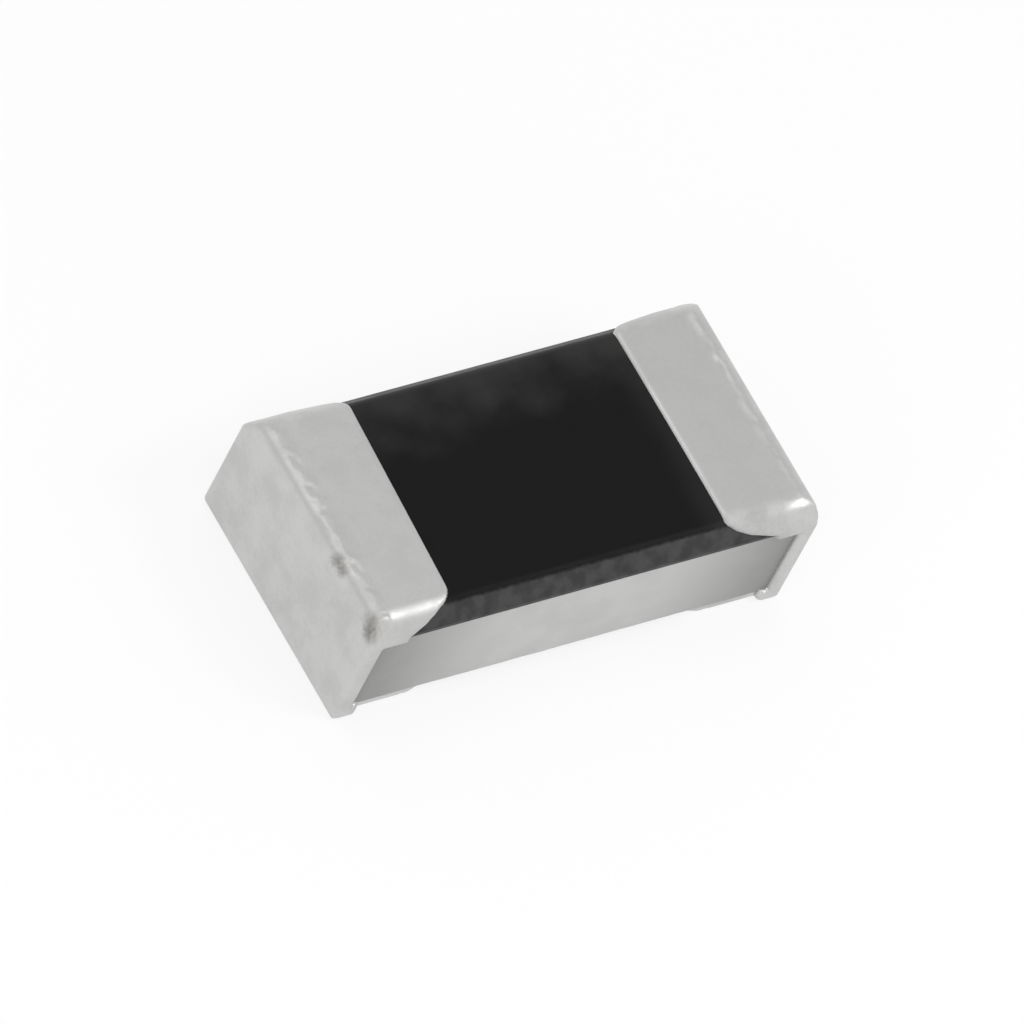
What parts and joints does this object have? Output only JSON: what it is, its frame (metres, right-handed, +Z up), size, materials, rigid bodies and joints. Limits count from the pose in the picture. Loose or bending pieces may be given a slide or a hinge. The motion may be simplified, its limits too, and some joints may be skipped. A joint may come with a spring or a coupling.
{
  "type": "chip resistor",
  "caption": "Flat surface-mount thick-film chip resistor: ceramic block with a black coated top and wrap-around tinned end terminations.",
  "frame": {"origin": "middle of the chip", "axes": "+X along the chip from end to end, +Y across it, +Z up away from the board"},
  "size_m": [0.0016, 0.0008, 0.0004],
  "materials": {
    "alumina": "fired white alumina with a fine grain, bare on the long sides",
    "silver_print": "fired silver print, matte",
    "resistive_film": "fired dark oxide film, satin",
    "precoat": "thin fired glass",
    "overcoat": "black cured coating, semi-matte",
    "end_paste": "cured silver paste, matte",
    "nickel": "electroplated nickel, satin",
    "tin": "electroplated matte tin"
  },
  "bodies": {
    "root": {"ceramic_body": "alumina", "top_electrode_left": "silver_print", "top_electrode_right": "silver_print", "bottom_electrode_left": "silver_print", "bottom_electrode_right": "silver_print", "resistive_film": "resistive_film", "glass_precoat": "precoat", "overcoat": "overcoat", "end_electrode_left": "end_paste", "end_electrode_right": "end_paste", "nickel_barrier_left": "nickel", "nickel_barrier_right": "nickel", "tin_plating_left": "tin", "tin_plating_right": "tin"}
  },
  "joints": []
}
